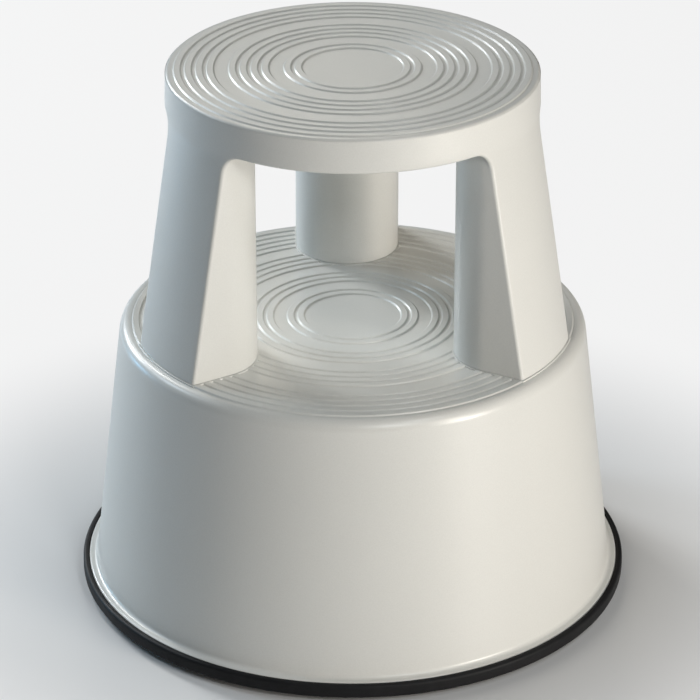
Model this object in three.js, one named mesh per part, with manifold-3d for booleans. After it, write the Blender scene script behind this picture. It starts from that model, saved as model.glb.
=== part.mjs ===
// Kick step stool: a round top step on three hollow legs, screwed to a round base that stands
// on three sprung castors. Weight on either step pushes the castors in until the rubber ring
// around the base meets the floor and holds the stool still.
// Millimetres, +Z up, origin on the floor under the middle of the stool.
import * as THREE from 'three';
import { mergeVertices } from 'three/addons/utils/BufferGeometryUtils.js';
import Module from 'manifold-3d';

const wasm = await Module();
wasm.setup();

// Driving dimensions.
const LIFT = 5;                  // floor to ring with nobody on the stool, and the castors' travel
const STEP_Z = 430 + LIFT;       // top step
const DECK_Z = 219.5 + LIFT;     // lower step
const TOP_R = 141.5;             // flat of the top step
const BAND_TOP_R = 143.6;
const BAND_R = 144.4;            // band at its lower edge
const BAND_LOW_Z = 402 + LIFT;
const FOOT_R = 174;              // outside of the legs at the deck
const LEG_HALF_WIDTH = 42;       // legs are D-shaped in plan, with their round side inwards
const LEG_CENTRE_R = 136;        // centre of that round side
const ARCH_R = 14;               // fillet between leg and band
const WALL = 3.2;
const PLATE = 3.5;
const FIT = 0.3;                 // gap between pieces that touch
const DECK_FLAT_R = 176;
const SHOULDER_R = 184.8;
const SHOULDER_Z = DECK_Z - 11.5;
const SKIRT_LOW_R = 207.9;
const SKIRT_LOW_Z = 17 + LIFT;
const FLANGE_R = 215;
const FLANGE_THICK = 5.5;
const RING_R = 220;
const RING_HEIGHT = 11;
const RING_INNER_R = 200.5;
const SOLE = 5.3;                // rubber under the flange
const LEG_AZIMUTHS = [90, 210, 330];
const CASTOR_AZIMUTHS = [30, 150, 270];
const CASTOR_R = 150;
const SCREW_OFFSET = 20;         // either side of a leg's middle
const SCREW_R = 140;
const SCREW_HEAD_R = 4.6;
const SCREW_SHANK_R = 1.6;
const BOSS_R = 5.5;
const BOSS_HEIGHT = 40;
const SEGMENTS = 60;

// Castor, about its own swivel axis. +X points away from the middle of the stool.
const WHEEL_R = 20;
const WHEEL_HALF_WIDTH = 8.5;
const TYRE_INNER_R = 14.5;
const TRAIL = 12;
const AXLE_R = 3;
const CHEEK_INNER = 9.3;
const CHEEK = 3;
const FORK_TOP = 47;
const FORK_PLATE = 3.5;
const STEM_R = 4;
const PLUNGER_R = 8.2;
const PLUNGER_FLANGE_R = 10.6;
const BUSH_TOP = 68;
const BUSH_BOTTOM = 60;
const SOCKET_BORE_R = 11;
const SOCKET_R = 15;
const SOCKET_LOW = 62;
const SPRING_SEAT = 106;
const SPRING_R = 8.4;
const WIRE_R = 1.1;
const SPRING_TURNS = 4;

const COLOURS = {
  shell: { color: 0xdedcd4, roughness: 0.45, metalness: 0 },
  rubber: { color: 0x17171a, roughness: 0.8, metalness: 0 },
  steel: { color: 0xb4b6b8, roughness: 0.35, metalness: 1 },
  nylon: { color: 0x3a3b3e, roughness: 0.5, metalness: 0 },
};

const radians = THREE.MathUtils.degToRad;

// ---- Solids ---------------------------------------------------------------------------------

function toSolid(geometry) {
  const bare = geometry.index ? geometry.toNonIndexed() : geometry.clone();
  bare.deleteAttribute('normal');
  bare.deleteAttribute('uv');
  const merged = mergeVertices(bare, 1e-3);
  return new wasm.Manifold(new wasm.Mesh({
    numProp: 3,
    vertProperties: merged.attributes.position.array,
    triVerts: new Uint32Array(merged.index.array),
  }));
}

function toGeometry(solid) {
  const mesh = solid.getMesh();
  const geometry = new THREE.BufferGeometry();
  geometry.setAttribute('position', new THREE.BufferAttribute(mesh.vertProperties, 3));
  geometry.setIndex(new THREE.BufferAttribute(mesh.triVerts, 1));
  const faceted = geometry.toNonIndexed();
  faceted.computeVertexNormals();
  return faceted;
}

// A profile of [radius, height] points, turned about +Z. It runs anticlockwise round its
// material and either starts and ends on the axis or closes on itself.
function turned(profile, segments = SEGMENTS) {
  const points = profile.map(([r, z]) => new THREE.Vector2(r, z));
  return new THREE.LatheGeometry(points, segments).rotateX(Math.PI / 2);
}

function turnedSolid(profile, segments = SEGMENTS) {
  return toSolid(turned(profile, segments));
}

function boxSolid([x0, y0, z0], [x1, y1, z1]) {
  const box = new THREE.BoxGeometry(x1 - x0, y1 - y0, z1 - z0);
  return toSolid(box.translate((x0 + x1) / 2, (y0 + y1) / 2, (z0 + z1) / 2));
}

function rod(radius, z0, z1, segments = 16) {
  return turnedSolid([[0, z0], [radius, z0], [radius, z1], [0, z1]], segments);
}

function extruded(shape, depth, curveSegments) {
  return new THREE.ExtrudeGeometry(shape, { depth, curveSegments, bevelEnabled: false });
}

function atAzimuths(azimuths, solid) {
  return azimuths.map((azimuth) => solid.rotate([0, 0, azimuth]));
}

function joined(solids) {
  return solids.reduce((whole, solid) => whole.add(solid));
}

// Points on an arc about a centre, in the plane of a profile.
function arc([cr, cz], rr, rz, from, to, steps) {
  return Array.from({ length: steps + 1 }, (_, i) => {
    const angle = radians(from + (to - from) * i / steps);
    return [cr + rr * Math.cos(angle), cz + rz * Math.sin(angle)];
  });
}

// ---- Upper step: top plate, band and three hollow legs in one moulding -----------------------

const FOOT_Z = DECK_Z + FIT;

// The outside of the moulding as a full turn, from which the legs and windows are cut.
function envelope(inset) {
  return turnedSolid([
    [0, FOOT_Z - inset],
    [FOOT_R - inset, FOOT_Z - inset],
    [BAND_R - inset, BAND_LOW_Z - 2],
    [BAND_TOP_R - inset, STEP_Z - 2.5],
    [TOP_R - inset, STEP_Z - inset * PLATE / WALL],
    [0, STEP_Z - inset * PLATE / WALL],
  ]);
}

// The D of a leg in plan, with its round side towards the middle.
function legPrism(inset) {
  const half = LEG_HALF_WIDTH - inset;
  const shape = new THREE.Shape();
  shape.moveTo(LEG_CENTRE_R, -half);
  shape.lineTo(FOOT_R + 10, -half);
  shape.lineTo(FOOT_R + 10, half);
  shape.lineTo(LEG_CENTRE_R, half);
  shape.absarc(LEG_CENTRE_R, 0, half, Math.PI / 2, Math.PI * 1.5, false);
  const low = FOOT_Z - inset;
  const high = STEP_Z - PLATE + (inset ? 0 : 1);
  return toSolid(extruded(shape, high - low, 14).translate(0, 0, low));
}

// The rounded corner at the top of a window, beside a leg.
function archFillet(side) {
  const shape = new THREE.Shape();
  const y = LEG_HALF_WIDTH;
  shape.moveTo(y - 1, BAND_LOW_Z - ARCH_R);
  shape.lineTo(y, BAND_LOW_Z - ARCH_R);
  shape.absarc(y + ARCH_R, BAND_LOW_Z - ARCH_R, ARCH_R, Math.PI, Math.PI / 2, true);
  shape.lineTo(y + ARCH_R, BAND_LOW_Z + 1);
  shape.lineTo(y - 1, BAND_LOW_Z + 1);
  const across = new THREE.Vector3(0, 1, 0);
  const up = new THREE.Vector3(0, 0, 1);
  const outwards = new THREE.Vector3(1, 0, 0);
  const turn = new THREE.Matrix4().makeBasis(across, up, outwards);
  const prism = extruded(shape, 60, 5).applyMatrix4(turn).translate(100, 0, 0);
  const solid = toSolid(prism);
  return side > 0 ? solid : solid.mirror([0, 1, 0]);
}

// The post that a screw bites in, with the web that ties it to the leg's side.
function screwBoss(side) {
  const y = side * SCREW_OFFSET;
  const post = rod(BOSS_R, FOOT_Z, FOOT_Z + BOSS_HEIGHT).translate([SCREW_R, y, 0]);
  const reach = [y, side * (LEG_HALF_WIDTH - 1)].sort((a, b) => a - b);
  const web = boxSolid(
    [SCREW_R - 1.3, reach[0], FOOT_Z],
    [SCREW_R + 1.3, reach[1], FOOT_Z + BOSS_HEIGHT - 4],
  );
  const pilot = rod(SCREW_SHANK_R + FIT, FOOT_Z - 1, FOOT_Z + BOSS_HEIGHT - 5, 12);
  return post.add(web).subtract(pilot.translate([SCREW_R, y, 0]));
}

function upperStep() {
  const outside = envelope(0);
  const inside = envelope(WALL);
  const skin = outside.subtract(inside);
  const capZone = boxSolid([-160, -160, BAND_LOW_Z], [160, 160, STEP_Z + 1]);
  const cap = skin.intersect(capZone);
  const leg = outside.intersect(legPrism(0)).subtract(inside.intersect(legPrism(WALL)));
  const fillets = [1, -1].map((side) => skin.intersect(archFillet(side)));
  const bosses = [1, -1].map(screwBoss);
  const ribLow = STEP_Z - PLATE - 14;
  const ribHigh = STEP_Z - PLATE + 1;
  const ringRib = turnedSolid(
    [[57, ribLow], [60, ribLow], [60, ribHigh], [57, ribHigh], [57, ribLow]], 36,
  );
  const legRib = boxSolid([59, -1.5, ribLow], [LEG_CENTRE_R - LEG_HALF_WIDTH + 2, 1.5, ribHigh]);
  const bandRib = boxSolid([59, -1.5, ribLow], [BAND_TOP_R - 2, 1.5, ribHigh]);
  return joined([
    cap,
    ringRib,
    ...atAzimuths(LEG_AZIMUTHS, joined([leg, ...fillets, ...bosses, legRib])),
    ...atAzimuths(CASTOR_AZIMUTHS, bandRib),
  ]);
}

// ---- Base shell: deck, shoulder, skirt and flange in one moulding ----------------------------

const FLANGE_LOW = LIFT + SOLE + FIT;
const SKIRT_INNER_LOW_R = 204.2;
const RIB_LOW = DECK_Z - PLATE - 16;

function shellOfTurn() {
  const underside = DECK_Z - PLATE;
  const rise = DECK_Z - SHOULDER_Z;
  const flangeHigh = FLANGE_LOW + FLANGE_THICK;
  return turnedSolid([
    [0, underside],
    ...arc([DECK_FLAT_R, SHOULDER_Z], SHOULDER_R - WALL - DECK_FLAT_R, rise - PLATE, 90, 8, 4),
    [SKIRT_INNER_LOW_R, SKIRT_LOW_Z],
    [SKIRT_INNER_LOW_R, FLANGE_LOW],
    [FLANGE_R, FLANGE_LOW],
    [FLANGE_R, flangeHigh - 0.8],
    [FLANGE_R - 0.8, flangeHigh],
    [SKIRT_LOW_R + 3.2, flangeHigh],
    [SKIRT_LOW_R + 1, flangeHigh + 1.4],
    [SKIRT_LOW_R, SKIRT_LOW_Z],
    ...arc([DECK_FLAT_R, SHOULDER_Z], SHOULDER_R - DECK_FLAT_R, rise, 6, 90, 5),
    [0, DECK_Z],
  ]);
}

// The tube that holds a castor's spring and plunger, hung from the deck by crossed ribs.
function castorSocket() {
  const tube = rod(SOCKET_R, SOCKET_LOW, SPRING_SEAT + PLATE, 20);
  const bore = rod(SOCKET_BORE_R, SOCKET_LOW - 1, SPRING_SEAT, 20);
  const ribs = [[SOCKET_R, 1.5], [1.5, SOCKET_R]].map(([x, y]) => boxSolid(
    [-x, -y, SPRING_SEAT + 1], [x, y, DECK_Z + 1],
  ));
  const braceOut = boxSolid([SOCKET_R - 2, -1.5, 90], [90, 1.5, DECK_Z + 1]);
  const braceIn = boxSolid([58 - CASTOR_R, -1.5, RIB_LOW], [2 - SOCKET_R, 1.5, DECK_Z + 1]);
  const solid = joined([tube, ...ribs, braceIn, braceOut]).subtract(bore);
  return solid.translate([CASTOR_R, 0, 0]);
}

function baseShell() {
  const shell = shellOfTurn();
  const rise = DECK_Z - SHOULDER_Z;
  const within = turnedSolid([
    [0, LIFT + 40],
    [SKIRT_LOW_R - 4.6, LIFT + 40],
    ...arc([DECK_FLAT_R, SHOULDER_Z], SHOULDER_R - 1.5 - DECK_FLAT_R, rise - 1.5, 7, 90, 3),
    [0, DECK_Z - 1.5],
  ]);
  const ringRib = turnedSolid(
    [[57, RIB_LOW], [60, RIB_LOW], [60, DECK_Z + 1], [57, DECK_Z + 1], [57, RIB_LOW]], 36,
  );
  const sockets = joined([ringRib, ...atAzimuths(CASTOR_AZIMUTHS, castorSocket())]);
  const holes = [1, -1].map((side) => rod(SCREW_SHANK_R + FIT, DECK_Z - 10, DECK_Z + 1, 12)
    .translate([SCREW_R, side * SCREW_OFFSET, 0]));
  return shell
    .add(sockets.intersect(within))
    .subtract(joined(atAzimuths(LEG_AZIMUTHS, joined(holes))));
}

// ---- Floor ring and screws --------------------------------------------------------------------

// A rubber channel that grips the flange and the foot of the skirt.
function floorRing() {
  const outerWall = FLANGE_R + FIT;
  const innerWall = SKIRT_INNER_LOW_R - FIT;
  const high = LIFT + RING_HEIGHT;
  return turned([
    [RING_INNER_R, LIFT],
    [RING_R - 1.5, LIFT],
    [RING_R, LIFT + 1.5],
    [RING_R, high - 2],
    [RING_R - 2, high],
    [outerWall, high],
    [outerWall, LIFT + SOLE],
    [innerWall, LIFT + SOLE],
    [innerWall, high + 3],
    [RING_INNER_R, high + 3],
    [RING_INNER_R, LIFT],
  ]);
}

function screw() {
  const headTop = DECK_Z - PLATE - FIT;
  return turned([
    [0, headTop - 2.8],
    [SCREW_HEAD_R - 1.6, headTop - 2.8],
    [SCREW_HEAD_R, headTop - 1],
    [SCREW_HEAD_R, headTop],
    [SCREW_SHANK_R, headTop],
    [SCREW_SHANK_R, FOOT_Z + 26],
    [0, FOOT_Z + 29],
  ], 8);
}

// ---- Castors -------------------------------------------------------------------------------------

// A guide bush in the socket's mouth. The plunger's flange rests on top of it.
function bush() {
  const bore = PLUNGER_R + 0.4;
  const barrel = SOCKET_BORE_R - FIT;
  return turned([
    [bore, BUSH_BOTTOM],
    [SOCKET_R - FIT, BUSH_BOTTOM],
    [SOCKET_R - FIT, SOCKET_LOW - FIT],
    [barrel, SOCKET_LOW - FIT],
    [barrel, BUSH_TOP],
    [bore, BUSH_TOP],
    [bore, BUSH_BOTTOM],
  ], 20);
}

const PLUNGER_LOW = FORK_TOP + FIT;
const FLANGE_REST = BUSH_TOP + FIT;
const SPRING_SHELF = FLANGE_REST + 3.7;
const GUIDE_TOP = SPRING_SHELF + 12;
const CLIP_LOW = GUIDE_TOP + FIT;
const CLIP_HIGH = CLIP_LOW + 1.5;

function plunger() {
  const bore = STEM_R + FIT;
  const guide = SPRING_R - WIRE_R - 1.1;
  return turned([
    [bore, PLUNGER_LOW],
    [PLUNGER_R, PLUNGER_LOW],
    [PLUNGER_R, FLANGE_REST],
    [PLUNGER_FLANGE_R, FLANGE_REST],
    [PLUNGER_FLANGE_R, SPRING_SHELF],
    [guide, SPRING_SHELF],
    [guide, GUIDE_TOP],
    [bore, GUIDE_TOP],
    [bore, PLUNGER_LOW],
  ], 16);
}

class Helix extends THREE.Curve {
  constructor(radius, low, high, turns) {
    super();
    Object.assign(this, { radius, low, high, turns });
  }

  getPoint(t, target = new THREE.Vector3()) {
    const angle = t * this.turns * 2 * Math.PI;
    const height = this.low + t * (this.high - this.low);
    return target.set(this.radius * Math.cos(angle), this.radius * Math.sin(angle), height);
  }
}

function spring() {
  const low = SPRING_SHELF + FIT + WIRE_R;
  const high = SPRING_SEAT - FIT - WIRE_R;
  const section = new THREE.Shape();
  section.absarc(0, 0, WIRE_R, 0, 2 * Math.PI, false);
  return new THREE.ExtrudeGeometry(section, {
    extrudePath: new Helix(SPRING_R, low, high, SPRING_TURNS),
    steps: SPRING_TURNS * 9,
    curveSegments: 3,
    bevelEnabled: false,
  });
}

// The kingpin that the fork turns on, headed under the fork and grooved for its clip.
function stem() {
  const headTop = FORK_TOP - FORK_PLATE - FIT;
  const groove = STEM_R - 0.7;
  return turned([
    [0, headTop - 2],
    [7, headTop - 2],
    [7, headTop],
    [STEM_R, headTop],
    [STEM_R, CLIP_LOW - FIT],
    [groove, CLIP_LOW - FIT],
    [groove, CLIP_HIGH + FIT],
    [STEM_R, CLIP_HIGH + FIT],
    [STEM_R, CLIP_HIGH + 2.2],
    [0, CLIP_HIGH + 2.2],
  ], 10);
}

function clip() {
  const inner = STEM_R - 0.4;
  return turned([
    [inner, CLIP_LOW], [6.1, CLIP_LOW], [6.1, CLIP_HIGH], [inner, CLIP_HIGH], [inner, CLIP_LOW],
  ], 10);
}

// Turns a solid made about +Z so that its axis lies along the axle.
function alongAxle(geometry) {
  return geometry.rotateX(Math.PI / 2).translate(-TRAIL, 0, WHEEL_R);
}

function fork() {
  const boss = 7;
  const plateLow = FORK_TOP - FORK_PLATE;
  const side = new THREE.Shape();
  side.moveTo(-TRAIL - boss, WHEEL_R);
  side.absarc(-TRAIL, WHEEL_R, boss, Math.PI, 2 * Math.PI, false);
  side.lineTo(10, plateLow - 4);
  side.lineTo(10, FORK_TOP - 2);
  side.lineTo(8, FORK_TOP);
  side.lineTo(-15, FORK_TOP);
  side.lineTo(-TRAIL - boss, FORK_TOP - 4);
  const outer = CHEEK_INNER + CHEEK;
  const block = toSolid(extruded(side, 2 * outer, 6).rotateX(Math.PI / 2).translate(0, outer, 0));
  const slot = boxSolid([-40, -CHEEK_INNER, 0], [40, CHEEK_INNER, plateLow]);
  const axleHole = toSolid(alongAxle(turned(
    [[0, -20], [AXLE_R + FIT, -20], [AXLE_R + FIT, 20], [0, 20]], 10,
  )));
  const stemHole = rod(STEM_R + FIT, plateLow - 1, FORK_TOP + 1, 10);
  return block.subtract(slot).subtract(axleHole).subtract(stemHole);
}

function axle() {
  const reach = CHEEK_INNER + CHEEK + FIT;
  return alongAxle(turned([
    [0, -reach - 1.5],
    [4.5, -reach - 1.5],
    [4.5, -reach],
    [AXLE_R, -reach],
    [AXLE_R, reach],
    [4.5, reach],
    [4.5, reach + 1.5],
    [0, reach + 1.5],
  ], 10));
}

function hub() {
  const bore = AXLE_R + FIT;
  const rim = TYRE_INNER_R - FIT;
  const web = WHEEL_HALF_WIDTH - 3;
  return alongAxle(turned([
    [bore, -WHEEL_HALF_WIDTH],
    [6, -WHEEL_HALF_WIDTH],
    [7, -web],
    [rim - 2, -web],
    [rim, -WHEEL_HALF_WIDTH + 1],
    [rim, WHEEL_HALF_WIDTH - 1],
    [rim - 2, web],
    [7, web],
    [6, WHEEL_HALF_WIDTH],
    [bore, WHEEL_HALF_WIDTH],
    [bore, -WHEEL_HALF_WIDTH],
  ], 12));
}

function tyre() {
  const half = WHEEL_HALF_WIDTH - 0.5;
  return alongAxle(turned([
    [TYRE_INNER_R, -half],
    [WHEEL_R - 2, -half],
    [WHEEL_R, -half + 3],
    [WHEEL_R, half - 3],
    [WHEEL_R - 2, half],
    [TYRE_INNER_R, half],
    [TYRE_INNER_R, -half],
  ], 24));
}

// ---- Assembly --------------------------------------------------------------------------------

function piece(name, geometry, finish) {
  const mesh = new THREE.Mesh(geometry, new THREE.MeshStandardMaterial(COLOURS[finish]));
  mesh.name = name;
  return mesh;
}

function castor(number, azimuth) {
  const group = new THREE.Group();
  const name = (part) => `castor_${number}_${part}`;
  group.add(
    piece(name('bush'), bush(), 'nylon'),
    piece(name('plunger'), plunger(), 'nylon'),
    piece(name('spring'), spring(), 'steel'),
    piece(name('stem'), stem(), 'steel'),
    piece(name('clip'), clip(), 'steel'),
    piece(name('fork'), toGeometry(fork()), 'nylon'),
    piece(name('axle'), axle(), 'steel'),
    piece(name('hub'), hub(), 'nylon'),
    piece(name('tyre'), tyre(), 'rubber'),
  );
  const angle = radians(azimuth);
  group.position.set(CASTOR_R * Math.cos(angle), CASTOR_R * Math.sin(angle), 0);
  group.rotation.z = angle;
  return group;
}

function legScrews(number, azimuth) {
  const group = new THREE.Group();
  [1, -1].forEach((side, i) => {
    const mesh = piece(`leg_${number}_screw_${i + 1}`, screw(), 'steel');
    mesh.position.set(SCREW_R, side * SCREW_OFFSET, 0);
    group.add(mesh);
  });
  group.rotation.z = radians(azimuth);
  return group;
}

const stool = new THREE.Group();
stool.add(
  piece('upper_step', toGeometry(upperStep()), 'shell'),
  piece('base_shell', toGeometry(baseShell()), 'shell'),
  piece('floor_ring', floorRing(), 'rubber'),
);
LEG_AZIMUTHS.forEach((azimuth, i) => stool.add(legScrews(i + 1, azimuth)));
CASTOR_AZIMUTHS.forEach((azimuth, i) => stool.add(castor(i + 1, azimuth)));

export default stool;
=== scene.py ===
"""Kick step stool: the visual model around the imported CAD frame. Sizes below are in millimetres."""
import math

import bmesh
import bpy
from mathutils import Matrix, Vector


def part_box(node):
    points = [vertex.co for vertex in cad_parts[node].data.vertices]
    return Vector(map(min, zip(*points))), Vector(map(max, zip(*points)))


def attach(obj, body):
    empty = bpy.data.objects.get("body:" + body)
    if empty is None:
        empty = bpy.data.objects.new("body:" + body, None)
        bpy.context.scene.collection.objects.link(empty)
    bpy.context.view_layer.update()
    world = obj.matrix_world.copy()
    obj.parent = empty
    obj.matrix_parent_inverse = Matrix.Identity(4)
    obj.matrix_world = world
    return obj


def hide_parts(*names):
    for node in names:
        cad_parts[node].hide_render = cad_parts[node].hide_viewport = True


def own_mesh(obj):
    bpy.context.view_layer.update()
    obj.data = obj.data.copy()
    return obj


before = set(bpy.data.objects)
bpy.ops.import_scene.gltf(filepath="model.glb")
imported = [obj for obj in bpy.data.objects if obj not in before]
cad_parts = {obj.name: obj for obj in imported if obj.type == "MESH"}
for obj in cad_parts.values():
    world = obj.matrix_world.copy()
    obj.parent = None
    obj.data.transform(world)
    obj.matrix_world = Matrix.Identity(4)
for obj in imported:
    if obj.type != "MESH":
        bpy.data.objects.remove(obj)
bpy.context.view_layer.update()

MM = 0.001


def top_of(node):
    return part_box(node)[1].z / MM


# ---- Sizes, shared with the CAD model ----------------------------------------------------------

STEP_Z = top_of("upper_step")
DECK_Z = top_of("base_shell")
FOOT_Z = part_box("upper_step")[0].z / MM
RING_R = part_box("floor_ring")[1].x / MM
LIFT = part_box("floor_ring")[0].z / MM
FLANGE_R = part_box("base_shell")[1].x / MM
FLANGE_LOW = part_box("base_shell")[0].z / MM

TOP_R, BAND_TOP_R, BAND_R = 141.5, 143.6, 144.4
BAND_LOW_Z = STEP_Z - 28
FOOT_R = 174
LEG_HALF_WIDTH = 42
LEG_CENTRE_R = 136
ARCH_R = 14
WALL = 3.2
PLATE = 3.5
FIT = 0.3
DECK_FLAT_R, SHOULDER_R = 176, 184.8
SHOULDER_Z = DECK_Z - 11.5
SKIRT_LOW_R = 207.9
SKIRT_LOW_Z = LIFT + 17
SKIRT_INNER_LOW_R = 204.2
FLANGE_THICK = 5.5
RING_INNER_R = 200.5
RING_HIGH = LIFT + 11
SOLE = 5.3
LEG_AZIMUTHS = (90, 210, 330)
CASTOR_AZIMUTHS = (30, 150, 270)
CASTOR_R = 150
SCREW_R, SCREW_OFFSET = 140, 20
SCREW_SHANK_R = 1.6
POST_R, POST_HEIGHT = 5.5, 40                 # a screw's post in a leg
WEB_HALF, WEB_HEIGHT = 1.3, 36                # the web that holds it
HOOP_IN, HOOP_OUT = 57, 60                    # the round rib under each step
RIB_HALF = 1.5
STEP_RIB, DECK_RIB = 14, 16                   # depths of the ribs under the upper step and the deck

# A castor about its swivel axis, with X pointing away from the middle of the stool.
WHEEL_R, WHEEL_HALF_WIDTH, TYRE_INNER_R = 20, 8.5, 14.5
TRAIL = 12
AXLE_R, AXLE_HEAD_R, AXLE_HEAD = 3, 4.5, 1.5
CHEEK_INNER, CHEEK = 9.3, 3
FORK_TOP, FORK_PLATE = 47, 3.5
STEM_R, STEM_HEAD_R, STEM_HEAD = 4, 7, 2
CLIP_R = 6.1
PLUNGER_R, PLUNGER_FLANGE_R = 8.2, 10.6
BUSH_LOW, BUSH_TOP = 60, 68
SOCKET_BORE_R, SOCKET_R, SOCKET_LOW = 11, 15, 62
SPRING_SEAT, SPRING_R, WIRE_R, SPRING_TURNS = 106, 8.4, 1.1, 4
PLUNGER_LOW = FORK_TOP + FIT
FLANGE_REST = BUSH_TOP + FIT
SPRING_SHELF = FLANGE_REST + 3.7
GUIDE_TOP = SPRING_SHELF + 12
CLIP_LOW = GUIDE_TOP + FIT
CLIP_HIGH = CLIP_LOW + 1.5

# Raised anti-slip rings: their middle radii on each step, and a ring's half width, its height and how
# far its rounded sides spread.
TOP_RINGS = [41.6 + 8.44 * k for k in (0, 1, 3, 4, 5, 6, 8, 9, 10, 11)]
DECK_RINGS = [41 + 8.15 * k for k in (0, 1, 3, 4, 5, 7, 8, 9, 10, 12, 13, 14, 15, 16)]
RING_HALF = 2.75
RING_RISE = 1.1
RING_SPREAD = 0.45
RING_SIDE = (                                 # a ring's side, from its groove to its top
    (-2.2, 0), (-1.5, 0), (-1.0, 0.06), (-0.5, 0.24), (0.5, 0.76), (1.0, 0.94), (1.5, 1), (2.2, 1),
)

# Faces round the large turned pieces, round the ribs and tyres, and round the castors' small pieces.
LARGE, MEDIUM, SMALL = 240, 96, 40
SHARP = 30                                    # degrees: edges that bend more than this stay sharp


# ---- Mesh helpers --------------------------------------------------------------------------------

def add_grid(bm, rows):
    """A sheet of quads over rows of points. The rows all have the same length."""
    made = [[bm.verts.new(Vector(p) * MM) for p in row] for row in rows]
    for low, high in zip(made, made[1:]):
        for i in range(len(low) - 1):
            bm.faces.new((low[i], low[i + 1], high[i + 1], high[i]))


def add_face(bm, points):
    bm.faces.new([bm.verts.new(Vector(p) * MM) for p in points])


def weld(bm):
    """Joins sheets that share a border, drops what that flattened, and points the faces outwards."""
    bmesh.ops.remove_doubles(bm, verts=bm.verts, dist=2e-6)
    bmesh.ops.dissolve_degenerate(bm, dist=1e-7, edges=bm.edges)
    bmesh.ops.recalc_face_normals(bm, faces=bm.faces)


def lathe(profile, segments):
    """A closed solid turned about Z from (radius, height) points.
    They start and end on the axis, or the last point is the first one again."""
    bm = bmesh.new()
    closed = profile[0] == profile[-1]
    points = profile[:-1] if closed else profile
    turns = [(math.cos(2 * math.pi * i / segments), math.sin(2 * math.pi * i / segments))
             for i in range(segments)]
    rings = []
    for r, z in points:
        if r < 1e-6:
            rings.append([bm.verts.new((0, 0, z * MM))])
        else:
            rings.append([bm.verts.new((r * c * MM, r * s * MM, z * MM)) for c, s in turns])
    pairs = list(zip(rings, rings[1:] + (rings[:1] if closed else [])))
    for a, b in pairs[:len(rings) if closed else len(rings) - 1]:
        for i in range(segments):
            k = (i + 1) % segments
            corners = [a[i % len(a)], a[k % len(a)], b[k % len(b)], b[i % len(b)]]
            bm.faces.new(list(dict.fromkeys(corners)))
    bmesh.ops.recalc_face_normals(bm, faces=bm.faces)
    return bm


def skin_rings(bm, rings):
    """Joins equal rings of vertices in turn, and closes both ends."""
    for a, b in zip(rings, rings[1:]):
        for i in range(len(a)):
            k = (i + 1) % len(a)
            bm.faces.new((a[i], a[k], b[k], b[i]))
    bm.faces.new(rings[0])
    bm.faces.new(rings[-1])
    bmesh.ops.recalc_face_normals(bm, faces=bm.faces)


def rounded(points, steps):
    """A path through (r, z) or (r, z, radius) points, with an arc of that radius at each corner."""
    path = []
    for i, point in enumerate(points):
        corner = Vector(point[:2])
        radius = point[2] if len(point) > 2 else 0
        if not radius:
            path.append(tuple(corner))
            continue
        before = (Vector(points[i - 1][:2]) - corner).normalized()
        after = (Vector(points[(i + 1) % len(points)][:2]) - corner).normalized()
        half = before.angle(after) / 2
        reach = radius / math.tan(half)
        middle = corner + (before + after).normalized() * (radius / math.sin(half))
        start = corner + before * reach - middle
        end = corner + after * reach - middle
        sweep = start.angle_signed(end)
        for k in range(steps + 1):
            turn = -sweep * k / steps
            c, s = math.cos(turn), math.sin(turn)
            path.append((middle.x + start.x * c - start.y * s, middle.y + start.x * s + start.y * c))
    return path


def closed_path(points, steps):
    path = rounded(points, steps)
    return path + path[:1]


def ringed(middles, face_z, out_r):
    """The (radius, height) points of a face with raised rings, from the axis to its edge."""
    low = face_z - RING_RISE
    path = [(0, low)]
    for middle in middles:
        climb = [(middle - RING_HALF + RING_SPREAD * x, low + RING_RISE * y) for x, y in RING_SIDE]
        path += climb + [(2 * middle - r, z) for r, z in reversed(climb)]
    return path + [(out_r, low)]


def combine(base, others, operation="UNION"):
    """Joins closed bmeshes to the first, cuts it with them, or keeps what they share."""
    objects = []
    for i, bm in enumerate([base, *others]):
        mesh = bpy.data.meshes.new(f"part_{i}")
        bm.to_mesh(mesh)
        bm.free()
        obj = bpy.data.objects.new(f"part_{i}", mesh)
        bpy.context.scene.collection.objects.link(obj)
        objects.append(obj)
    for other in objects[1:]:
        modifier = objects[0].modifiers.new("combine", "BOOLEAN")
        modifier.object = other
        modifier.operation = operation
        modifier.solver = "MANIFOLD"
    evaluated = objects[0].evaluated_get(bpy.context.evaluated_depsgraph_get())
    result = bmesh.new()
    result.from_mesh(evaluated.to_mesh())
    evaluated.to_mesh_clear()
    for obj in objects:
        mesh = obj.data
        bpy.data.objects.remove(obj)
        bpy.data.meshes.remove(mesh)
    return result


def moved(bm, matrix):
    bmesh.ops.transform(bm, matrix=matrix, verts=bm.verts)
    return bm


def turned_to(azimuth, radius=0):
    """From a leg's or castor's own axes, with X pointing outwards, to its place on the stool."""
    return (Matrix.Rotation(math.radians(azimuth), 4, "Z")
            @ Matrix.Translation(Vector((radius, 0, 0)) * MM))


def box(low, high):
    bm = bmesh.new()
    bmesh.ops.create_cube(bm, size=1)
    size = Vector(high) - Vector(low)
    middle = (Vector(high) + Vector(low)) / 2
    matrix = Matrix.Translation(middle * MM) @ Matrix.Diagonal((*(size * MM), 1))
    return moved(bm, matrix)


def rod(radius, low, high, segments):
    return lathe([(0, low), (radius, low), (radius, high), (0, high)], segments)


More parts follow.
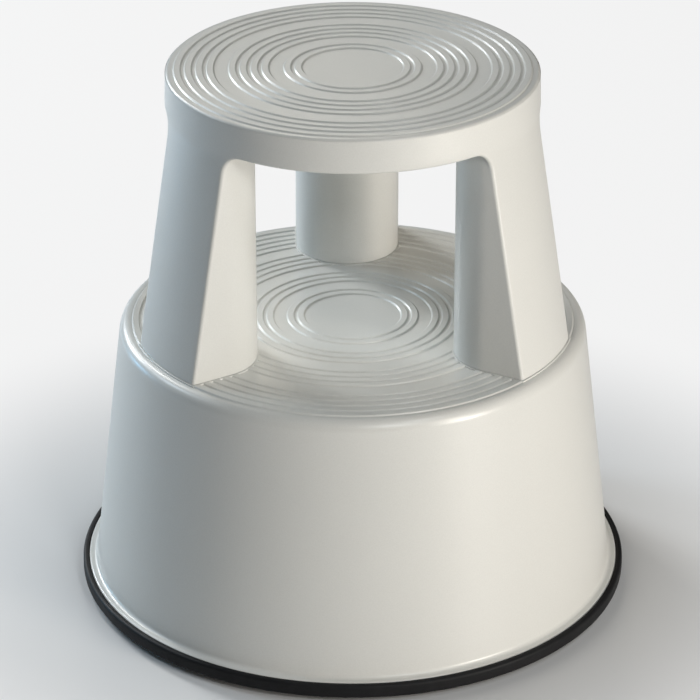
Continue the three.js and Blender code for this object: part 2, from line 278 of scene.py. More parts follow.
def bevelled_prism(outline, low, high, edge):
    """A prism of an (x, z) outline along Y, with its long edges rounded."""
    count, steps = len(outline), 3
    points = [Vector(p) for p in outline]
    inwards = []
    for i, point in enumerate(points):
        before = (point - points[i - 1]).normalized()
        after = (points[(i + 1) % count] - point).normalized()
        normal = Vector((-before.y - after.y, before.x + after.x)).normalized()
        inwards.append(normal / max(0.5, normal.dot(Vector((-after.y, after.x)))))
    levels = [(edge * (1 - math.sin(t)), low + edge * (1 - math.cos(t)))
              for t in (math.pi / 2 * k / steps for k in range(steps + 1))]
    levels += [(inset, high + low - y) for inset, y in reversed(levels)]
    bm = bmesh.new()
    rings = []
    for inset, y in levels:
        ring = [point + way * inset for point, way in zip(points, inwards)]
        rings.append([bm.verts.new((p.x * MM, y * MM, p.y * MM)) for p in ring])
    skin_rings(bm, rings)
    return bm


def finish_piece(name, bm, material, body, nodes):
    mesh = bpy.data.meshes.new(name)
    bm.to_mesh(mesh)
    bm.free()
    mesh.polygons.foreach_set("use_smooth", [True] * len(mesh.polygons))
    mesh.set_sharp_from_angle(angle=math.radians(SHARP))
    mesh.materials.append(material)
    obj = bpy.data.objects.new(name, mesh)
    bpy.context.scene.collection.objects.link(obj)
    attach(obj, body)
    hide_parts(*nodes)
    return obj


# ---- Materials -------------------------------------------------------------------------------------

class Nodes:
    """Short names for building a material's nodes."""

    def __init__(self, name):
        self.material = bpy.data.materials.new(name)
        self.material.use_nodes = True
        self.tree = self.material.node_tree
        self.shader = self.tree.nodes["Principled BSDF"]
        self.place = self.tree.nodes.new("ShaderNodeTexCoord").outputs["Object"]

    def new(self, kind, inputs=None, **settings):
        node = self.tree.nodes.new(kind)
        for key, value in settings.items():
            setattr(node, key, value)
        for key, value in (inputs or {}).items():
            self.join(value, node.inputs[key])
        return node

    def join(self, value, socket):
        if isinstance(value, bpy.types.NodeSocket):
            self.tree.links.new(value, socket)
        else:
            socket.default_value = value

    def noise(self, scale, detail=3.0, roughness=0.55, vector=None):
        node = self.new("ShaderNodeTexNoise", {"Scale": scale, "Detail": detail, "Roughness": roughness})
        self.join(vector or self.place, node.inputs["Vector"])
        return node.outputs["Fac"]

    def ramp(self, value, *stops):
        node = self.new("ShaderNodeValToRGB", {"Fac": value})
        elements = node.color_ramp.elements
        while len(elements) < len(stops):
            elements.new(0.5)
        for element, (position, colour) in zip(elements, stops):
            element.position = position
            element.color = (*colour, 1) if isinstance(colour, tuple) else (colour,) * 3 + (1,)
        return node.outputs["Color"]

    def map_range(self, value, low, high, to_low, to_high, shape="LINEAR"):
        node = self.new("ShaderNodeMapRange", {
            "Value": value, "From Min": low, "From Max": high, "To Min": to_low, "To Max": to_high},
            interpolation_type=shape)
        return node.outputs["Result"]

    def mix(self, factor, a, b, blend="MIX"):
        node = self.new("ShaderNodeMix", data_type="RGBA", blend_type=blend)
        self.join(factor, node.inputs[0])
        self.join(a, node.inputs[6])
        self.join(b, node.inputs[7])
        return node.outputs[2]

    def math(self, operation, a, b):
        node = self.new("ShaderNodeMath", operation=operation)
        self.join(a, node.inputs[0])
        self.join(b, node.inputs[1])
        return node.outputs[0]

    def bump(self, height, strength, distance, normal=None):
        node = self.new("ShaderNodeBump", {"Height": height, "Strength": strength, "Distance": distance})
        if normal:
            self.join(normal, node.inputs["Normal"])
        return node.outputs["Normal"]

    def finish(self, **inputs):
        for key, value in inputs.items():
            self.join(value, self.shader.inputs[key.replace("_", " ")])
        return self.material


def moulded_plastic(name, colour, shade, rough, grain_scale, grain_depth, specular=0.5):
    """Injection-moulded plastic: a spark-eroded grain, cloudy colour, and sheen that comes and goes."""
    n = Nodes(name)
    cloud = n.noise(9, 4)
    flow = n.noise(38, 3)
    grain = n.noise(grain_scale, 2, 0.7)
    pebble = n.new("ShaderNodeTexVoronoi", {"Scale": grain_scale * 0.6, "Vector": n.place},
                   feature="SMOOTH_F1").outputs["Distance"]
    base = n.mix(n.map_range(cloud, 0.35, 0.65, 0, 1), (*colour, 1), (*shade, 1))
    speck = n.map_range(grain, 0.35, 0.65, 0.965, 1.02)
    base = n.mix(0.7, base, speck, "MULTIPLY")
    sheen = n.map_range(flow, 0.3, 0.7, rough - 0.015, rough + 0.015)
    sheen = n.math("ADD", sheen, n.map_range(grain, 0.35, 0.65, -0.03, 0.03))
    relief = n.math("ADD", n.math("MULTIPLY", pebble, 0.6), grain)
    normal = n.bump(relief, 0.35, grain_depth)
    waves = n.bump(n.noise(14, 1), 0.15, 0.0004, normal)
    return n.finish(Base_Color=base, Roughness=sheen, Normal=waves, Specular_IOR_Level=specular)


def rubber(name, colour, rough):
    n = Nodes(name)
    cloud = n.noise(25, 4)
    grain = n.noise(1500, 3, 0.7)
    dust = n.map_range(n.noise(70, 5, 0.65), 0.5, 0.75, 0, 0.25)
    base = n.mix(dust, (*colour, 1), (*(c * 2.2 + 0.004 for c in colour), 1))
    sheen = n.map_range(cloud, 0.3, 0.7, rough - 0.08, rough + 0.08)
    normal = n.bump(grain, 0.4, 0.00012)
    return n.finish(Base_Color=base, Roughness=sheen, Normal=normal, Specular_IOR_Level=0.18)


def plated_steel(name, colour, rough, stretch):
    """Steel with fine drawn or turned lines: the noise is stretched along the given axes."""
    n = Nodes(name)
    scaled = n.new("ShaderNodeMapping", {"Vector": n.place, "Scale": stretch}).outputs["Vector"]
    lines = n.noise(1, 3, 0.6, scaled)
    spots = n.noise(420, 4, 0.7)
    cloud = n.noise(60, 3)
    tint = n.mix(n.map_range(cloud, 0.35, 0.65, 0, 1), (*colour, 1), (*(c * 0.82 for c in colour), 1))
    tint = n.mix(n.map_range(spots, 0.58, 0.75, 0, 0.35), tint, (0.32, 0.3, 0.26, 1))
    sheen = n.map_range(lines, 0.3, 0.7, rough - 0.07, rough + 0.1)
    normal = n.bump(lines, 0.25, 0.00004)
    return n.finish(Base_Color=tint, Roughness=sheen, Normal=normal, Metallic=1.0)


SHELL = moulded_plastic("shell_plastic", (0.76, 0.755, 0.72), (0.75, 0.745, 0.71), 0.32, 950, 0.00007,
                        specular=0.7)
NYLON = moulded_plastic("castor_nylon", (0.045, 0.046, 0.05), (0.034, 0.035, 0.038), 0.48, 1400, 0.00006)
WHEEL = moulded_plastic("wheel_nylon", (0.17, 0.175, 0.18), (0.14, 0.145, 0.15), 0.45, 1400, 0.00005)
RUBBER = rubber("ring_rubber", (0.012, 0.012, 0.013), 0.55)
TYRE = rubber("tyre_rubber", (0.05, 0.05, 0.052), 0.7)
ZINC = plated_steel("zinc_steel", (0.72, 0.72, 0.70), 0.32, (300, 300, 2600))
SPRING = plated_steel("spring_steel", (0.42, 0.42, 0.43), 0.36, (900, 900, 900))


# ---- Upper step ------------------------------------------------------------------------------------

LEG_COLUMNS, WINDOW_COLUMNS = 14, 22          # columns of faces from a leg's middle to a window's middle
FOOT_ROWS, ARCH_ROWS, BAND_ROWS, SKIN_ROWS = 30, 8, 6, 5
EDGE = 1.9                                    # rounding of the outer edge of legs and windows
INNER_EDGE = 0.9
ARCH_Z = BAND_LOW_Z - ARCH_R
UNDER_Z = STEP_Z - PLATE
BAND_HIGH_Z = STEP_Z - 2.6
BEND_Z = BAND_LOW_Z - 2


def outer_r(z):
    """Outside of the legs and band at a height. They are two cones that meet just under the band."""
    if z >= BEND_Z:
        return BAND_R + (BAND_TOP_R - BAND_R) * (z - BEND_Z) / (BAND_HIGH_Z - BEND_Z)
    return BAND_R + (FOOT_R - BAND_R) * (BEND_Z - z) / (BEND_Z - FOOT_Z)


def on_skin(y, z, depth, lean):
    """A point under the outer surface, in a leg's frame. lean is 0 along a leg and 1 along a window."""
    r = outer_r(z)
    y *= 1 - lean * depth / r
    return (math.sqrt((r - depth) ** 2 - y * y), y, z)


def leg_path(r, count, inset=0.0):
    """Half of the D of a leg in plan, from where it leaves the circle of radius r to its middle."""
    half = LEG_HALF_WIDTH - inset
    straight = math.sqrt(r * r - half * half) - LEG_CENTRE_R
    if straight >= 0:
        start = -straight
    else:
        start = half * math.asin((LEG_CENTRE_R ** 2 + half * half - r * r) / (2 * LEG_CENTRE_R * half))
    end = half * math.pi / 2
    points = []
    for i in range(count + 1):
        s = start + (end - start) * i / count
        if s <= 0:
            points.append((LEG_CENTRE_R - s, half))
        else:
            points.append((LEG_CENTRE_R - half * math.sin(s / half), half * math.cos(s / half)))
    return points


def edge_stations():
    """Places along the free edge of the skin, from a foot, over the arch, to the window's middle.
    Each gives the edge's y and z, the way into the material, the lean and the inner rounding."""
    stations = []
    for i in range(FOOT_ROWS + 1):
        z = FOOT_Z + (ARCH_Z - FOOT_Z) * i / FOOT_ROWS
        stations.append((LEG_HALF_WIDTH, z, (-1, 0), 0, 0))
    for i in range(1, ARCH_ROWS + 1):
        turn = math.pi / 2 * i / ARCH_ROWS
        way = (-math.cos(turn), math.sin(turn))
        y = LEG_HALF_WIDTH + ARCH_R + ARCH_R * way[0]
        share = i / ARCH_ROWS
        stations.append((y, ARCH_Z + ARCH_R * way[1], way, share, INNER_EDGE * share))
    first = math.asin((LEG_HALF_WIDTH + ARCH_R) / outer_r(BAND_LOW_Z))
    for i in range(1, WINDOW_COLUMNS + 1):
        angle = first + (math.pi / 3 - first) * i / WINDOW_COLUMNS
        stations.append((outer_r(BAND_LOW_Z) * math.sin(angle), BAND_LOW_Z, (0, 1), 1, INNER_EDGE))
    return stations


def edge_section(station):
    """Points across the skin's edge, from the outer surface to the inner one."""
    y, z, (way_y, way_z), lean, inner = station
    points = []
    for k in range(6):
        turn = math.pi / 2 * k / 5
        points.append((EDGE * (1 - math.sin(turn)), EDGE * (1 - math.cos(turn))))
    for k in range(4):
        turn = math.pi / 2 * k / 3
        points.append((inner * (1 - math.cos(turn)), WALL - INNER_EDGE * (1 - math.sin(turn))))
    window = way_y == 0 and y > LEG_HALF_WIDTH + ARCH_R
    made = []
    for into, depth in points:
        height = z + way_z * into
        across = y + way_y * into
        if window:
            across = y * outer_r(height) / outer_r(z)
        made.append(on_skin(across, height, depth, lean))
    return made


def sixth_of_upper_step(bm):
    """The moulding from the middle of a leg to the middle of the window beside it."""
    stations = edge_stations()
    sections = [edge_section(s) for s in stations]
    add_grid(bm, sections)

    def across_leg(edge_point):
        x, y, z = edge_point
        r, angle = math.hypot(x, y), math.atan2(y, x)
        return [(r * math.cos(angle * j / LEG_COLUMNS), r * math.sin(angle * j / LEG_COLUMNS), z)
                for j in range(LEG_COLUMNS + 1)]

    legs = FOOT_ROWS + ARCH_ROWS
    face = [across_leg(section[0]) for section in sections[:legs + 1]]
    add_grid(bm, face)

    border = face[-1] + [section[0] for section in sections[legs + 1:]]
    angles = [math.atan2(y, x) for x, y, z in border]
    band_low = border[0][2]
    band = []
    for i in range(BAND_ROWS + 1):
        z = band_low + (BAND_HIGH_Z - band_low) * i / BAND_ROWS
        band.append([(outer_r(z) * math.cos(a), outer_r(z) * math.sin(a), z) for a in angles])
    add_grid(bm, band)

    lip = rounded([(BAND_TOP_R, BAND_HIGH_Z), (BAND_TOP_R + 0.05, STEP_Z - RING_RISE, 2.6),
                   (TOP_R - 4, STEP_Z - RING_RISE)], 6)
    lip[0] = (BAND_TOP_R, BAND_HIGH_Z)
    inwards = lip[:-1] + list(reversed(ringed(TOP_RINGS, STEP_Z, TOP_R - 3)))
    add_grid(bm, [[(r * math.cos(a), r * math.sin(a), z) for a in angles] for r, z in inwards])

    wall_columns = 22
    wall = [[(x, y, s[1]) for x, y in leg_path(outer_r(s[1]) - WALL, wall_columns)]
            for s in stations[:FOOT_ROWS + 1]]
    high = []
    for i in range(1, SKIN_ROWS + 1):
        z = ARCH_Z + (UNDER_Z - ARCH_Z) * i / SKIN_ROWS
        high.append([(x, y, z) for x, y in leg_path(outer_r(z) - WALL, wall_columns)])
    add_grid(bm, wall + high)

    inner_border = [section[-1] for section in sections[FOOT_ROWS:]]
    skin = [[wall[-1][0]] + inner_border[1:]]
    for i in range(1, SKIN_ROWS + 1):
        row = [high[i - 1][0]]
        for x, y, z in inner_border[1:]:
            up = z + (UNDER_Z - z) * i / SKIN_ROWS
            r, a = outer_r(up) - WALL, math.atan2(y, x)
            row.append((r * math.cos(a), r * math.sin(a), up))
        skin.append(row)
    add_grid(bm, skin)

    plate = list(reversed(high[-1])) + skin[-1][1:]
    add_face(bm, [(0, 0, UNDER_Z)] + plate)

    pocket_columns = 18
    pocket = []
    for i in range(9):
        z = FOOT_Z + (UNDER_Z - FOOT_Z) * i / 8
        r = outer_r(z) - WALL
        path = leg_path(r, pocket_columns, WALL)
        start = math.atan2(path[0][1], path[0][0])
        front = [(r * math.cos(start * j / 8), r * math.sin(start * j / 8)) for j in range(8)]
        pocket.append([(x, y, z) for x, y in front + path])
    add_grid(bm, pocket)
    add_face(bm, pocket[-1])
    rim = face[0] + sections[0][1:] + wall[0][1:]
    add_face(bm, rim + list(reversed(pocket[0])))


def hoop_rib(low, high):
    return lathe(closed_path([
        (HOOP_IN, low, 0.7), (HOOP_OUT, low, 0.7), (HOOP_OUT, high), (HOOP_IN, high),
    ], 2), MEDIUM)


def screw_place(azimuth, side):
    return turned_to(azimuth) @ Matrix.Translation(Vector((SCREW_R, side * SCREW_OFFSET, 0)) * MM)


def screw_holes(low, high):
    return [moved(rod(SCREW_SHANK_R + FIT, low, high, 24), screw_place(azimuth, side))
            for azimuth in LEG_AZIMUTHS for side in (1, -1)]


def upper_step():
    bm = bmesh.new()
    for azimuth in LEG_AZIMUTHS:
        for mirror in (1, -1):
            part = bmesh.new()
            sixth_of_upper_step(part)
            place = turned_to(azimuth) @ Matrix.Diagonal((1, mirror, 1, 1))
            moved(part, place)
            mesh = bpy.data.meshes.new("sixth")
            part.to_mesh(mesh)
            part.free()
            bm.from_mesh(mesh)
            bpy.data.meshes.remove(mesh)
    weld(bm)
    rib_low, rib_high = UNDER_Z - STEP_RIB, UNDER_Z + 1
    ribs = [hoop_rib(rib_low, rib_high)]
    leg_rib = LEG_CENTRE_R - LEG_HALF_WIDTH + 2
    for azimuths, reach in ((LEG_AZIMUTHS, leg_rib), (CASTOR_AZIMUTHS, BAND_TOP_R - 2)):
        for azimuth in azimuths:
            rib = box((HOOP_OUT - 1, -RIB_HALF, rib_low), (reach, RIB_HALF, rib_high))
            ribs.append(moved(rib, turned_to(azimuth)))
    for azimuth in LEG_AZIMUTHS:
        for side in (1, -1):
            post = rod(POST_R, FOOT_Z + 0.2, FOOT_Z + POST_HEIGHT, 24)
            ribs.append(moved(post, screw_place(azimuth, side)))
            near, far = sorted((side * SCREW_OFFSET, side * (LEG_HALF_WIDTH - 1)))
            web = box((SCREW_R - WEB_HALF, near, FOOT_Z + 0.2),
                      (SCREW_R + WEB_HALF, far, FOOT_Z + WEB_HEIGHT))
            ribs.append(moved(web, turned_to(azimuth)))
    return combine(combine(bm, ribs), screw_holes(FOOT_Z - 1, FOOT_Z + 35), "DIFFERENCE")


# ---- Base shell --------------------------------------------------------------------------------------

PAD_MARGIN = 1.2                              # the deck's flat pad shows this much round a leg's foot


def foot_pad(azimuth):
    """A flat place as high as the rings, in the shape of a foot, where a leg stands."""
    reach = FOOT_R + PAD_MARGIN
    half = leg_path(reach, 20, -PAD_MARGIN)
    corner = math.atan2(half[0][1], half[0][0])
    turns = [corner * k / 6 for k in range(-5, 6)]
    outside = [(reach * math.cos(turn), reach * math.sin(turn)) for turn in turns]
    outline = half + [(x, -y) for x, y in reversed(half[:-1])] + outside
    pad = bevelled_prism(outline, DECK_Z - 3, DECK_Z, 0.4)
    return moved(pad, turned_to(azimuth) @ Matrix.Rotation(math.pi / 2, 4, "X"))


def base_shell():
    deck = ringed(DECK_RINGS, DECK_Z, DECK_FLAT_R - 1)
    land = DECK_Z - RING_RISE
    rise = land - SHOULDER_Z
    shoulder = []
    for k in range(1, 15):
        turn = math.radians(90 - (90 - 6) * k / 14)
        shoulder.append((DECK_FLAT_R + (SHOULDER_R - DECK_FLAT_R) * math.cos(turn),
                         SHOULDER_Z + rise * math.sin(turn)))
    flange_high = FLANGE_LOW + FLANGE_THICK
    foot = rounded([
        shoulder[-1],
        (SKIRT_LOW_R + 0.6, flange_high, 3.5),
        (FLANGE_R, flange_high, 1.6),
        (FLANGE_R, FLANGE_LOW, 0.5),
        (SKIRT_INNER_LOW_R, FLANGE_LOW),
        (SKIRT_INNER_LOW_R, SKIRT_LOW_Z),
    ], 5)[1:]
    inside = []
    for k in range(9):
        turn = math.radians(8 + (90 - 8) * k / 8)
        inside.append((DECK_FLAT_R + (SHOULDER_R - WALL - DECK_FLAT_R) * math.cos(turn),
                       SHOULDER_Z + (DECK_Z - SHOULDER_Z - PLATE) * math.sin(turn)))
    bm = lathe(deck + shoulder + foot + inside + [(0, DECK_Z - PLATE)], LARGE)
    rib_low = DECK_Z - PLATE - DECK_RIB
    within = [(0, LIFT + 40), (SKIRT_LOW_R - 4.6, LIFT + 40)]
    for k in range(7):
        turn = math.radians(7 + (90 - 7) * k / 6)
        within.append((DECK_FLAT_R + (SHOULDER_R - 1.5 - DECK_FLAT_R) * math.cos(turn),
                       SHOULDER_Z + (rise - 0.5) * math.sin(turn)))
    within.append((0, land - 0.5))
    ribs = hoop_rib(rib_low, DECK_Z)
    parts = []
    for azimuth in CASTOR_AZIMUTHS:
        tube = lathe(rounded([
            (0, SPRING_SEAT), (SOCKET_BORE_R, SPRING_SEAT), (SOCKET_BORE_R, SOCKET_LOW, 0.4),
            (SOCKET_R, SOCKET_LOW, 0.8), (SOCKET_R, SPRING_SEAT + PLATE, 0.6), (0, SPRING_SEAT + PLATE),
        ], 3), 48)
        high = DECK_Z + 1
        place = turned_to(azimuth, CASTOR_R)
        parts += [moved(part, place) for part in (
            tube,
            box((-SOCKET_R, -RIB_HALF, SPRING_SEAT + 1), (SOCKET_R, RIB_HALF, high)),
            box((-RIB_HALF, -SOCKET_R, SPRING_SEAT + 1.2), (RIB_HALF, SOCKET_R, high)),
            box((SOCKET_R - 2, -RIB_HALF, 90), (90, RIB_HALF, high)),
            box((HOOP_IN + 1 - CASTOR_R, -RIB_HALF, rib_low + 0.2), (2 - SOCKET_R, RIB_HALF, high)),
        )]
    hung = combine(combine(ribs, parts), [lathe(within, LARGE)], "INTERSECT")
    whole = combine(bm, [hung, *(foot_pad(azimuth) for azimuth in LEG_AZIMUTHS)])
    return combine(whole, screw_holes(DECK_Z - 10, DECK_Z + 1), "DIFFERENCE")


def floor_ring():
    outer, inner = FLANGE_R + FIT, SKIRT_INNER_LOW_R - FIT
    return lathe(closed_path([
        (RING_INNER_R, LIFT, 0.8), (RING_R, LIFT, 2.2), (RING_R, RING_HIGH, 2.6),
        (outer, RING_HIGH, 0.5), (outer, LIFT + SOLE), (inner, LIFT + SOLE),
        (inner, RING_HIGH + 3, 0.5), (RING_INNER_R, RING_HIGH + 3, 0.8),
    ], 5), LARGE)


# ---- Castors -----------------------------------------------------------------------------------------

def along_axle(bm):
    """Turns a solid made about Z so that it lies along the axle."""
    place = Matrix.Translation(Vector((-TRAIL, 0, WHEEL_R)) * MM)
    return moved(bm, place @ Matrix.Rotation(math.pi / 2, 4, "X"))


def tyre():
    half = WHEEL_HALF_WIDTH - 0.5
    bottom = WHEEL_R - 0.7
    groove = [(WHEEL_R, 2.6, 0.2), (bottom, 2.8, 0.2), (bottom, 3.6, 0.2), (WHEEL_R, 3.8, 0.2)]
    low_groove = [(r, -z, edge) for r, z, edge in reversed(groove)]
    return along_axle(lathe(closed_path([
        (TYRE_INNER_R, -half, 0.3), (WHEEL_R, -half, 2.6), *low_groove, *groove,
        (WHEEL_R, half, 2.6), (TYRE_INNER_R, half, 0.3),
    ], 4), MEDIUM))


def hub():
    bore, rim, web = AXLE_R + FIT, TYRE_INNER_R - FIT, 2.2
    disc = lathe(closed_path([
        (bore, -WHEEL_HALF_WIDTH, 0.3), (6, -WHEEL_HALF_WIDTH, 0.6), (6.8, -web, 0.6),
        (rim - 1.8, -web, 0.6), (rim - 1.2, 1 - WHEEL_HALF_WIDTH, 0.4), (rim, 1 - WHEEL_HALF_WIDTH, 0.3),
        (rim, WHEEL_HALF_WIDTH - 1, 0.3), (rim - 1.2, WHEEL_HALF_WIDTH - 1, 0.4), (rim - 1.8, web, 0.6),
        (6.8, web, 0.6), (6, WHEEL_HALF_WIDTH, 0.6), (bore, WHEEL_HALF_WIDTH, 0.3),
    ], 3), 72)
    spokes = [moved(box((5.5, -0.7, -7), (rim - 1, 0.7, 7)), turned_to(30 + 60 * k)) for k in range(6)]
    return along_axle(combine(disc, spokes))


def fork():
    boss, plate_low = 7, FORK_TOP - FORK_PLATE
    outline = [(-TRAIL + boss * math.cos(t), WHEEL_R + boss * math.sin(t))
               for t in (math.pi * (1 + k / 16) for k in range(17))]
    outline += rounded([outline[-1], (10, plate_low - 4, 2), (10, FORK_TOP, 2.5),
                        (-TRAIL - boss, FORK_TOP, 4.5), outline[0]], 4)[1:-1]
    outer = CHEEK_INNER + CHEEK
    block = bevelled_prism(outline, -outer, outer, 0.8)
    slot_cut = box((-40, -CHEEK_INNER, 0), (40, CHEEK_INNER, plate_low))
    axle_hole = along_axle(rod(AXLE_R + FIT, -20, 20, SMALL))
    stem_hole = rod(STEM_R + FIT, plate_low - 1, FORK_TOP + 1, SMALL)
    return combine(block, [slot_cut, axle_hole, stem_hole], "DIFFERENCE")


def axle():
    reach = CHEEK_INNER + CHEEK + FIT
    head = [(AXLE_R, reach), (AXLE_HEAD_R, reach, 0.2), (AXLE_HEAD_R, reach + AXLE_HEAD, 1.0),
            (0, reach + AXLE_HEAD)]
    tail = [(r, -z, *rest) for r, z, *rest in reversed(head)]
    return along_axle(lathe(rounded(tail + head, 4), SMALL))


def stem():
    head_top = FORK_TOP - FORK_PLATE - FIT
    groove = STEM_R - 0.7
    return lathe(rounded([
        (0, head_top - STEM_HEAD), (STEM_HEAD_R, head_top - STEM_HEAD, 1.2),
        (STEM_HEAD_R, head_top, 0.2), (STEM_R, head_top),
        (STEM_R, CLIP_LOW - FIT), (groove, CLIP_LOW - FIT), (groove, CLIP_HIGH + FIT),
        (STEM_R, CLIP_HIGH + FIT), (STEM_R, CLIP_HIGH + 2.2, 0.8), (0, CLIP_HIGH + 2.2),
    ], 3), SMALL)


def clip():
    inner = STEM_R - 0.4
    return lathe(closed_path([
        (inner, CLIP_LOW, 0.2), (CLIP_R, CLIP_LOW, 0.3),
        (CLIP_R, CLIP_HIGH, 0.3), (inner, CLIP_HIGH, 0.2),
    ], 2), SMALL)


def plunger():
    bore, guide = STEM_R + FIT, SPRING_R - WIRE_R - 1.1
    return lathe(closed_path([
        (bore, PLUNGER_LOW, 0.3), (PLUNGER_R, PLUNGER_LOW, 0.8), (PLUNGER_R, FLANGE_REST),
        (PLUNGER_FLANGE_R, FLANGE_REST, 0.4), (PLUNGER_FLANGE_R, SPRING_SHELF, 0.6),
        (guide, SPRING_SHELF), (guide, GUIDE_TOP, 0.7), (bore, GUIDE_TOP, 0.3),
    ], 3), 56)


def bush():
    bore, barrel = PLUNGER_R + 0.4, SOCKET_BORE_R - FIT
    return lathe(closed_path([
        (bore, BUSH_LOW, 0.6), (SOCKET_R - FIT, BUSH_LOW, 0.8), (SOCKET_R - FIT, SOCKET_LOW - FIT, 0.3),
        (barrel, SOCKET_LOW - FIT), (barrel, BUSH_TOP, 0.4), (bore, BUSH_TOP, 0.3),
    ], 3), 56)


def spring():
    """A round wire wound between the plunger's shelf and the socket's top, with its end turns flat."""
    low, high = SPRING_SHELF + FIT + WIRE_R, SPRING_SEAT - FIT - WIRE_R
    steps, sides, flat_turns = SPRING_TURNS * 32, 12, 0.6
    bm = bmesh.new()
    rings = []
    for i in range(steps + 1):
        turns = SPRING_TURNS * i / steps
        angle = turns * 2 * math.pi
        climb = min(max((turns - flat_turns) / (SPRING_TURNS - 2 * flat_turns), 0), 1)
        height = low + (high - low) * climb
        out = Vector((math.cos(angle), math.sin(angle), 0))
        ring = []
        for k in range(sides):
            turn = 2 * math.pi * k / sides
            radius, rise = SPRING_R + WIRE_R * math.cos(turn), WIRE_R * math.sin(turn)
            ring.append(bm.verts.new((out * radius + Vector((0, 0, height + rise))) * MM))
        rings.append(ring)
    skin_rings(bm, rings)
    return bm


def screw():
    head_top = DECK_Z - PLATE - FIT
    head_low, head_r, shank = head_top - 2.8, 4.6, SCREW_SHANK_R
    pitch, root = 1.4, shank - 0.3
    thread = []
    z = head_top + 2
    while z < FOOT_Z + 25:
        thread += [(root, z), (shank, z + pitch / 4), (root, z + pitch / 2)]
        z += pitch
    body = lathe(rounded([
        (0, head_low), (head_r, head_low, 1.8), (head_r, head_top, 0.3), (shank, head_top),
        *thread, (0, FOOT_Z + 29),
    ], 4), 32)
    cross = [box((-2.4, -0.5, head_low - 1), (2.4, 0.5, head_low + 1.6)),
             box((-0.5, -2.4, head_low - 1), (0.5, 2.4, head_low + 1.6))]
    return combine(body, cross, "DIFFERENCE")


finish_piece("upper_step_moulding", upper_step(), SHELL, "stool", ["upper_step"])
finish_piece("base_moulding", base_shell(), SHELL, "stool", ["base_shell"])
finish_piece("floor_ring_channel", floor_ring(), RUBBER, "stool", ["floor_ring"])

for number, azimuth in enumerate(LEG_AZIMUTHS, 1):
    for k, side in enumerate((1, -1), 1):
        node = f"leg_{number}_screw_{k}"
        finish_piece(f"{node}_pan_head", moved(screw(), screw_place(azimuth, side)), ZINC, "stool",
                     [node])

CASTOR_PIECES = (
    ("bush", bush, NYLON, "castor_nylon", "stool"),
    ("spring", spring, SPRING, "spring_steel", "stool"),
    ("plunger", plunger, NYLON, "castor_nylon", "slider"),
    ("stem", stem, ZINC, "zinc_steel", "swivel"),
    ("clip", clip, SPRING, "spring_steel", "swivel"),
    ("fork", fork, NYLON, "castor_nylon", "swivel"),
    ("axle", axle, ZINC, "zinc_steel", "swivel"),
    ("hub", hub, WHEEL, "wheel_nylon", "wheel"),
    ("tyre", tyre, TYRE, "tyre_rubber", "wheel"),
)

for number, azimuth in enumerate(CASTOR_AZIMUTHS, 1):
    place = turned_to(azimuth, CASTOR_R)
    for part, build, material, slot_name, body in CASTOR_PIECES:
        node = f"castor_{number}_{part}"
        owner = body if body == "stool" else f"castor_{number}_{body}"
        obj = finish_piece(f"{node}_detail", moved(build(), place), material, owner, [node])
        if part == "spring":
            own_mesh(obj)


# ---- Stage, lights and camera ----------------------------------------------------------------------

FLOOR_REACH = 30                              # metres
VEIL_HEIGHT = 0.0005
VEIL_START, VEIL_FULL = 0.19, 0.5             # metres from the middle of the stool
VEIL_COVER, VEIL_GLOW = 0.94, 0.92
BACKDROP_WHITE = 0.85
LAMP_DISTANCE, LAMP_SIZE = 2.4, 0.4           # metres
LAMP_AIM = Vector((0, 0, 0.22))

# Each lamp's name, turn from the camera's side towards the right, height in degrees, watts and colour.
LAMPS = (
    ("front", 18, 36, 9.5, (0.93, 0.97, 1.0)), ("front_high", 40, 55, 5, (0.90, 0.96, 1.0)),
    ("right_low", 50, 3, 26, (1.0, 0.94, 0.86)), ("right", 46, 20, 9, (1.0, 0.95, 0.86)),
    ("back_left", 222, 20, 22, (0.91, 0.96, 1.0)), ("back_left_high", 215, 38, 14, (1.0, 1.0, 0.98)),
    ("left_high", 250, 36, 9, (0.74, 0.88, 1.0)), ("left_low", 240, 4, 8, (0.32, 0.68, 1.0)),
    ("behind_high", 180, 36, 3.5, (1.0, 0.93, 0.80)),
)

CAMERA_SENSOR, CAMERA_LENS = 36, 174.8        # millimetres
CAMERA_SHIFT = -0.0039
CAMERA_YAW, CAMERA_PITCH = -1.9, 26.413       # degrees to the left and down
CAMERA_BACK, CAMERA_UP = 2.4224, 1.3959       # metres from the stool's middle and from the floor
CAMERA_REACH = 100


def floor_plane(name, height, material):
    mesh = bpy.data.meshes.new(name)
    sides = ((-1, -1), (1, -1), (1, 1), (-1, 1))
    corners = [(x * FLOOR_REACH, y * FLOOR_REACH, height) for x, y in sides]
    mesh.from_pydata(corners, [], [(0, 1, 2, 3)])
    mesh.materials.append(material)
    obj = bpy.data.objects.new(name, mesh)
    bpy.context.scene.collection.objects.link(obj)
    return obj


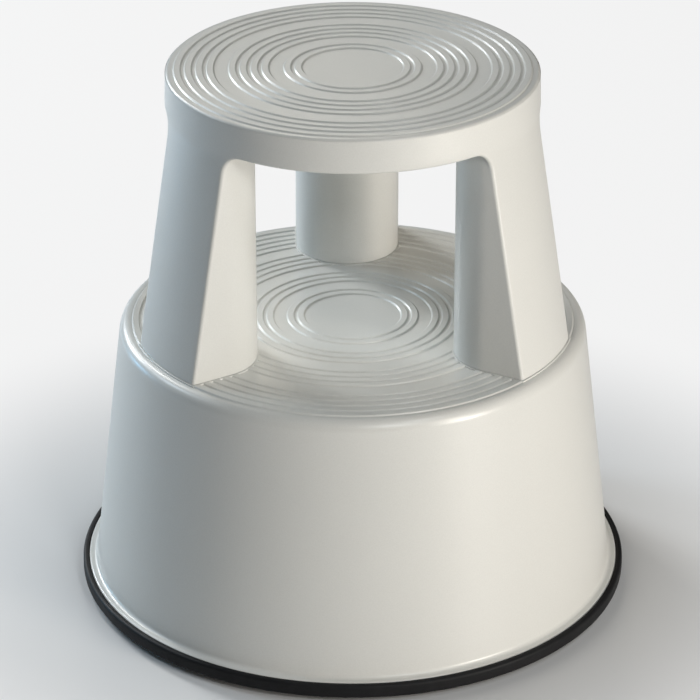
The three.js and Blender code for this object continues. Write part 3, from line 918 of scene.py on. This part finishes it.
def stage():
    """A pale floor, and a veil just over it that turns it white away from the stool.
    Only the camera sees the veil, and it lights nothing."""
    n = Nodes("floor_paint")
    tone = n.ramp(n.noise(2, 2), (0.3, 0.72), (0.7, 0.75))
    floor_plane("floor", 0, n.finish(Base_Color=tone, Roughness=0.9))

    n = Nodes("floor_veil")
    away = n.new("ShaderNodeVectorMath", {0: n.place}, operation="LENGTH").outputs["Value"]
    cover = n.map_range(away, VEIL_START, VEIL_FULL, 0, VEIL_COVER, "SMOOTHSTEP")
    white = n.finish(Base_Color=(0, 0, 0, 1), Alpha=cover, Roughness=1, Specular_IOR_Level=0,
                     Emission_Color=(1, 1, 1, 1), Emission_Strength=VEIL_GLOW)
    veil = floor_plane("floor_veil", VEIL_HEIGHT, white)
    for ray in ("diffuse", "glossy", "transmission", "volume_scatter", "shadow"):
        setattr(veil, f"visible_{ray}", False)


def lamp(name, turn, height, power, colour):
    """A soft square lamp that the camera doesn't see, on a circle round the stool."""
    data = bpy.data.lights.new(name, "AREA")
    data.size = LAMP_SIZE
    data.energy = power
    data.color = colour
    obj = bpy.data.objects.new(name, data)
    turn, height = math.radians(turn), math.radians(height)
    away = Vector((math.sin(turn) * math.cos(height), -math.cos(turn) * math.cos(height),
                   math.sin(height)))
    obj.location = LAMP_AIM + LAMP_DISTANCE * away
    obj.rotation_euler = away.to_track_quat("Z", "Y").to_euler()
    obj.visible_camera = False
    bpy.context.scene.collection.objects.link(obj)


def backdrop():
    """A white surround above the horizon, which lights nothing."""
    world = bpy.data.worlds.new("studio")
    world.use_nodes = True
    colour = world.node_tree.nodes["Background"].inputs["Color"]
    colour.default_value = (BACKDROP_WHITE, BACKDROP_WHITE, BACKDROP_WHITE, 1)
    for ray in ("diffuse", "glossy", "transmission", "scatter"):
        setattr(world.cycles_visibility, ray, False)
    bpy.context.scene.world = world


def camera():
    """A long lens a little left of the middle, looking down at the stool."""
    data = bpy.data.cameras.new("camera")
    data.sensor_width = CAMERA_SENSOR
    data.lens = CAMERA_LENS
    data.shift_x = CAMERA_SHIFT
    data.clip_end = CAMERA_REACH
    obj = bpy.data.objects.new("camera", data)
    yaw, pitch = math.radians(CAMERA_YAW), math.radians(CAMERA_PITCH)
    obj.location = (CAMERA_BACK * math.sin(yaw), -CAMERA_BACK * math.cos(yaw), CAMERA_UP)
    obj.rotation_euler = (math.pi / 2 - pitch, 0, yaw)
    bpy.context.scene.collection.objects.link(obj)
    bpy.context.scene.camera = obj


stage()
backdrop()
for settings in LAMPS:
    lamp(*settings)
camera()
bpy.context.scene.view_settings.view_transform = "Standard"
